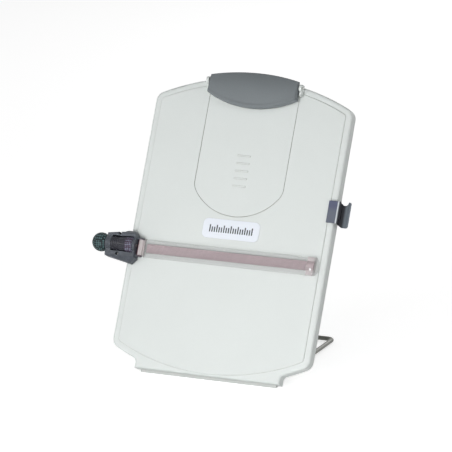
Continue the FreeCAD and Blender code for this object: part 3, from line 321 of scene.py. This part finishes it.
def moulded(name, colour, edge, roughness, drift, wear_and_shading, grain=0.0005, relief=0.00005,
            radius=0.0003, patch=0.07, specular=0.5, metallic=0.0, stretch=EVEN):
    """Moulded or drawn stock with slow colour drift, fine speckle, coloured edges and a grain.

    edge is the colour laid on edges: wear on most materials, darker edges on the board and a
    painted highlight on the dark housing, carriage and drum. drift and the share of edge colour are
    shares, and grain, relief, radius and patch are metres.
    """
    material, tree, shader = new_material(name)
    slow = ranged(tree, noise(tree, patch, 3.0), 0.0, 1.0)
    body = mixed(tree, slow, scaled(colour, 1 - drift), scaled(colour, 1 + drift))
    speck = ranged(tree, noise(tree, grain * SPECK_SIZE, 2.0, stretch), 0.0, 0.5)
    normal, mask = rounding(tree, radius)
    patchy = ranged(tree, noise(tree, WEAR_AND_SHADING_PATCH, 4.0), WEAR_AND_SHADING_LEAST, 1.0)
    # Edge colour: wear, and on the dark housing, carriage and drum a painted highlight
    wear_and_shading_mask = times(tree, times(tree, mask, patchy), wear_and_shading)
    layered(tree, shader, body, ((speck, scaled(colour, 1 - SPECK_DEPTH * drift)), (wear_and_shading_mask, edge)))
    sheen = ranged(tree, noise(tree, SHEEN_PATCH, 4.0, stretch), roughness - SHEEN_DOWN,
                   roughness + SHEEN_UP)
    tree.links.new(sheen, shader.inputs["Roughness"])
    bump(tree, shader, noise(tree, grain, 3.0, stretch), relief, GRAIN_STRENGTH, normal)
    shader.inputs["Metallic"].default_value = metallic
    shader.inputs["Specular IOR Level"].default_value = specular
    return material


def clear_acrylic():
    """Clear moulding that greys what lies behind it, with flow lines, a pale knuckle and cap, a
    painted dark red edge for the rose tint seen through it and a painted highlight on the cap.
    """
    material, tree, shader = new_material("clear_acrylic")
    flow = ranged(tree, noise(tree, FLOW_SIZE, 3.0, ALONG_X), 0.0, 1.0)
    body = mixed(tree, flow, paint(128, 129, 129), paint(142, 142, 142))
    knuckle = across(tree, BEFORE, BAR_COLLAR, BAND_SOFT)
    # Dark red painted at the bar's start: the rose tint seen through the clear acrylic
    red_edge = across(tree, BEFORE, BAR_RED_EDGE, LINE_SOFT)
    cap = across(tree, *BAR_CAP, BAND_SOFT)
    rib = across(tree, *BAR_RIB, LINE_SOFT)
    # A painted highlight on the end cap
    glint = times(tree, across(tree, *BAR_GLINT, GLINT_SOFT),
                  across(tree, *GLINT_HIGH, GLINT_HIGH_SOFT, "Z"))
    layered(tree, shader, body, (
        (knuckle, paint(196, 188, 188)),
        (red_edge, paint(122, 70, 84)),
        (cap, paint(196, 184, 186)),
        (rib, paint(124, 112, 112)),
        (glint, paint(250, 250, 250)),
    ))
    smears = ranged(tree, noise(tree, SMEAR_SIZE, 5.0), *CLEAR_ROUGHNESS)
    tree.links.new(smears, shader.inputs["Roughness"])
    normal, mask = rounding(tree, CLEAR_ROUND)
    alpha = ranged(tree, mask, FACE_ALPHA, EDGE_ALPHA, 0.0, 1.0)
    alpha = larger(tree, alpha, times(tree, knuckle, COLLAR_ALPHA))
    alpha = larger(tree, alpha, times(tree, larger(tree, cap, rib), CAP_ALPHA))
    tree.links.new(larger(tree, alpha, glint), shader.inputs["Alpha"])
    waves = noise(tree, WAVE_SIZE, 2.0, ALONG_X)
    bump(tree, shader, waves, WAVE_DEPTH, WAVE_STRENGTH, normal)
    return material


def dimpled(name, colour, light, pitch, size, disorder):
    """Dark rubber with lighter spots, a painted highlight on its raised bits."""
    material = moulded(name, colour, light, roughness=0.55, drift=0.12, wear_and_shading=0.4, grain=0.0004,
                       relief=0.00006, specular=0.25)
    tree, shader, base = base_of(material)
    # Lighter spots: a painted highlight on the raised bits of the knob and roller
    layered(tree, shader, base, ((spots(tree, pitch, size, disorder), light),))
    return material


def board_plastic():
    """Pale moulding with painted grey shade in its corners and slots."""
    material = moulded("board_plastic", paint(220, 225, 223), paint(178, 177, 170), roughness=0.5,
                       drift=0.012, wear_and_shading=0.7, grain=0.0007, radius=0.0006, specular=0.3)
    tree, shader, base = base_of(material)
    # Grey painted shade where corners and slots close in
    body = mixed(tree, open_places(tree), paint(150, 150, 142), base)
    tree.links.new(body, shader.inputs["Base Color"])
    return material


def carriage_plastic():
    """Housing plastic with dark red painted on the bearing wall beside the bar, standing in for
    the bar's rose tint seen through its clear acrylic.
    """
    # The pale edge colour here is a painted highlight on the carriage's edges
    material = moulded("carriage_plastic", paint(74, 79, 87), paint(150, 158, 165),
                       roughness=0.42, drift=0.26, wear_and_shading=0.9, radius=0.0006, patch=0.005,
                       specular=0.4)
    tree, shader, base = base_of(material)
    wall = times(tree, across(tree, CARRIAGE_WALL, PAST),
                 across(tree, *WALL_HIGH, WALL_HIGH_SOFT, "Z"))
    # Dark red painted on the bearing wall: the rose tint seen through the clear bar
    layered(tree, shader, base, ((wall, paint(92, 54, 66)),))
    return material


def jaw_plastic():
    """Slate tab with a painted highlight on its bend and a painted darker, bluer shade on its top,
    and a lever with painted shade in its hollow.
    """
    material = moulded("jaw_plastic", paint(98, 104, 117), paint(124, 130, 142), roughness=0.5,
                       drift=0.06, wear_and_shading=0.2, relief=0.00004, specular=0.3)
    tree, shader, base = base_of(material)
    layered(tree, shader, base, (
        # Painted shade: the tab's darker, bluer top
        (across(tree, JAW_TOP, PAST, JAW_TOP_SOFT, "Z"), paint(84, 88, 112)),
        (across(tree, JAW_HOLLOW, PAST), paint(104, 112, 120)),
        # Painted shade in the lever's hollow
        (across(tree, JAW_HOLLOW, JAW_LIP, JAW_LIP_SOFT), paint(22, 24, 31)),
        # Painted highlight on the bend
        (across(tree, JAW_BEND, JAW_HOLLOW, JAW_BEND_SOFT), paint(206, 211, 214)),
    ))
    return material


# Materials of the record's slots
MATERIALS = {
    "board": board_plastic(),
    "label": moulded("label_film", paint(228, 233, 241), paint(236, 240, 246), roughness=0.35,
                     drift=0.01, wear_and_shading=0.1, grain=0.002, relief=0.00001),
    "clip": moulded("clip_plastic", paint(118, 124, 127), paint(140, 145, 148), roughness=0.52,
                    drift=0.05, wear_and_shading=0.4, relief=0.00003, specular=0.25),
    "rubber": moulded("rubber", paint(58, 59, 60), paint(92, 93, 94), roughness=0.75,
                      drift=0.08, wear_and_shading=0.3, grain=0.0004, relief=0.00006, specular=0.3),
    "steel": moulded("drawn_steel", paint(186, 186, 183), paint(214, 214, 212), roughness=0.3,
                     drift=0.06, wear_and_shading=0.3, grain=0.0003, relief=0.00001, metallic=1.0,
                     stretch=ALONG_Y),
    "spring": moulded("spring_steel", paint(160, 160, 160), paint(200, 200, 200),
                      roughness=0.25, drift=0.08, wear_and_shading=0.2, grain=0.0003, relief=0.00001,
                      metallic=1.0),
    # The housing's pale edge colour is a painted highlight on its edges
    "housing": moulded("housing_plastic", paint(74, 79, 87), paint(140, 147, 154),
                       roughness=0.45, drift=0.1, wear_and_shading=0.7, radius=0.0006, specular=0.35),
    "knob": dimpled("knob_rubber", paint(19, 29, 32), paint(80, 106, 108), pitch=0.0025,
                    size=0.52, disorder=0.2),
    "clear": clear_acrylic(),
    "tint": moulded("rose_film", paint(242, 221, 226), paint(246, 228, 232), roughness=0.5,
                    drift=0.03, wear_and_shading=0.1, grain=0.0008, relief=0.00001, specular=0.2,
                    stretch=ALONG_X),
    "wire": moulded("coated_wire", paint(112, 113, 107), paint(160, 161, 156), roughness=0.42,
                    drift=0.08, wear_and_shading=0.3, grain=0.0006, relief=0.00003, metallic=0.3),
    "nylon": moulded("nylon", paint(226, 225, 216), paint(236, 235, 228), roughness=0.5,
                     drift=0.02, wear_and_shading=0.2, relief=0.00003),
}

# Materials of single nodes that differ from their slot's
OWN_MATERIALS = {
    "carriage_housing": carriage_plastic(),
    # The drum's pale edge colour is a painted highlight on its ridges and flutes
    "drum": moulded("drum_plastic", paint(30, 31, 41), paint(134, 134, 148), roughness=0.36,
                    drift=0.2, wear_and_shading=0.9, radius=0.0004, patch=0.004, specular=0.4),
    "drive_roller": dimpled("roller_rubber", paint(66, 50, 66), paint(128, 132, 150),
                            pitch=0.0022, size=0.50, disorder=0.1),
    "foot_strip": moulded("strip_rubber", paint(196, 198, 196), paint(208, 210, 208),
                          roughness=0.7, drift=0.05, wear_and_shading=0.3, grain=0.0004, relief=0.00006,
                          specular=0.3),
    "side_clip_jaw": jaw_plastic(),
}


def dress_nodes():
    """Give each CAD node its own material, or that of its slot in the record."""
    for name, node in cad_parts.items():
        for slot in node.material_slots:
            slot.material = OWN_MATERIALS.get(name, MATERIALS[slot.material.name.split(".")[0]])


def bar_mesh(name, boxes, material):
    """One mesh of bevelled bars, each given by opposite corners in the board's frame."""
    mesh = bpy.data.meshes.new(name)
    build = bmesh.new()
    for low, high in boxes:
        made = bmesh.ops.create_cube(build, size=1.0)["verts"]
        for vertex in made:
            place = [low[i] + (vertex.co[i] + 0.5) * (high[i] - low[i]) for i in range(3)]
            vertex.co = on_board(*place)
    bmesh.ops.bevel(build, geom=build.edges[:], offset=INK_ROUND, segments=2, affect="EDGES")
    build.to_mesh(mesh)
    build.free()
    piece = bpy.data.objects.new(name, mesh)
    bpy.context.scene.collection.objects.link(piece)
    mesh.materials.append(material)
    return piece


def make_label_scale():
    """Plain printed scale on the label."""
    colour = paint(52, 56, 58)
    ink = moulded("printing_ink", colour, scaled(colour, INK_EDGE), roughness=0.5, drift=0.1,
                  wear_and_shading=0.1, grain=0.0004, relief=0.00001)
    boxes = []
    low = LABEL_Z - SCALE_LONG / 2
    for index in range(SCALE_STEPS + 1):
        x = (index - SCALE_STEPS / 2) * SCALE_PITCH
        rise = SCALE_SHORT if index % SCALE_EVERY else SCALE_LONG
        boxes.append(((x - SCALE_MARK / 2, LABEL_FACE - INK_PROUD, low),
                      (x + SCALE_MARK / 2, LABEL_FACE + INK_SUNK, low + rise)))
    piece = bar_mesh("label_scale", boxes, ink)
    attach(piece, "board")


def camera_axes():
    """Directions forwards, to the right and upwards from the camera."""
    azimuth = math.radians(AZIMUTH)
    elevation = math.radians(ELEVATION)
    level = math.cos(elevation)
    forward = Vector((-math.sin(azimuth) * level, math.cos(azimuth) * level, -math.sin(elevation)))
    right = Vector((math.cos(azimuth), math.sin(azimuth), 0))
    return forward, right, right.cross(forward)


def make_camera():
    """Camera of the photograph."""
    forward, right, up = camera_axes()
    aim = TARGET - right * AIM_LEFT + up * AIM_UP
    data = bpy.data.cameras.new("camera")
    data.lens = LENS
    data.sensor_width = SENSOR
    data.clip_start = CLIP_NEAR
    data.clip_end = CLIP_FAR
    camera = bpy.data.objects.new("camera", data)
    bpy.context.scene.collection.objects.link(camera)
    camera.location = aim - forward * DISTANCE
    camera.rotation_mode = "QUATERNION"
    camera.rotation_quaternion = forward.to_track_quat("-Z", "Y")
    bpy.context.scene.camera = camera


def seen_directly(tree):
    """1 for camera, glossy and transmission rays."""
    path = tree.nodes.new("ShaderNodeLightPath")
    total = path.outputs["Is Camera Ray"]
    for name in ("Is Glossy Ray", "Is Transmission Ray"):
        total = larger(tree, total, path.outputs[name])
    return total


def make_world():
    """White where it is seen, and dimmer as a light."""
    world = bpy.data.worlds.new("studio")
    world.use_nodes = True
    tree = world.node_tree
    tree.nodes.clear()
    ambient = tree.nodes.new("ShaderNodeBackground")
    ambient.inputs["Strength"].default_value = AMBIENT
    backdrop = tree.nodes.new("ShaderNodeBackground")
    backdrop.inputs["Strength"].default_value = BACKDROP
    for node in (ambient, backdrop):
        node.inputs["Color"].default_value = (1, 1, 1, 1)
    mix = tree.nodes.new("ShaderNodeMixShader")
    output = tree.nodes.new("ShaderNodeOutputWorld")
    tree.links.new(seen_directly(tree), mix.inputs[0])
    tree.links.new(ambient.outputs[0], mix.inputs[1])
    tree.links.new(backdrop.outputs[0], mix.inputs[2])
    tree.links.new(mix.outputs[0], output.inputs["Surface"])
    bpy.context.scene.world = world


def make_floor():
    """Pale floor that shows white and keeps a soft shadow."""
    mesh = bpy.data.meshes.new("floor")
    half = FLOOR_HALF
    mesh.from_pydata([(-half, -half, 0), (half, -half, 0), (half, half, 0), (-half, half, 0)],
                     [], [(0, 1, 2, 3)])
    floor = bpy.data.objects.new("floor", mesh)
    bpy.context.scene.collection.objects.link(floor)
    material = bpy.data.materials.new("pale_floor")
    material.use_nodes = True
    tree = material.node_tree
    tree.nodes.clear()
    diffuse = tree.nodes.new("ShaderNodeBsdfDiffuse")
    diffuse.inputs["Color"].default_value = (FLOOR_COLOUR, FLOOR_COLOUR, FLOOR_COLOUR, 1)
    glow = tree.nodes.new("ShaderNodeEmission")
    level = times(tree, seen_directly(tree), FLOOR_LIFT)
    tree.links.new(level, glow.inputs["Strength"])
    both = tree.nodes.new("ShaderNodeAddShader")
    output = tree.nodes.new("ShaderNodeOutputMaterial")
    tree.links.new(diffuse.outputs[0], both.inputs[0])
    tree.links.new(glow.outputs[0], both.inputs[1])
    tree.links.new(both.outputs[0], output.inputs["Surface"])
    mesh.materials.append(material)


def make_lamp(name, place, size, energy):
    """Square soft box aimed at the middle of the board."""
    data = bpy.data.lights.new(name, "AREA")
    data.shape = "SQUARE"
    data.size = size
    data.energy = energy
    lamp = bpy.data.objects.new(name, data)
    bpy.context.scene.collection.objects.link(lamp)
    lamp.location = place
    aim = TARGET - Vector(place)
    lamp.rotation_mode = "QUATERNION"
    lamp.rotation_quaternion = aim.to_track_quat("-Z", "Y")


dress_nodes()
make_label_scale()
make_camera()
make_world()
make_floor()
for lamp in LAMPS:
    make_lamp(*lamp)
bpy.context.scene.view_settings.view_transform = "Standard"
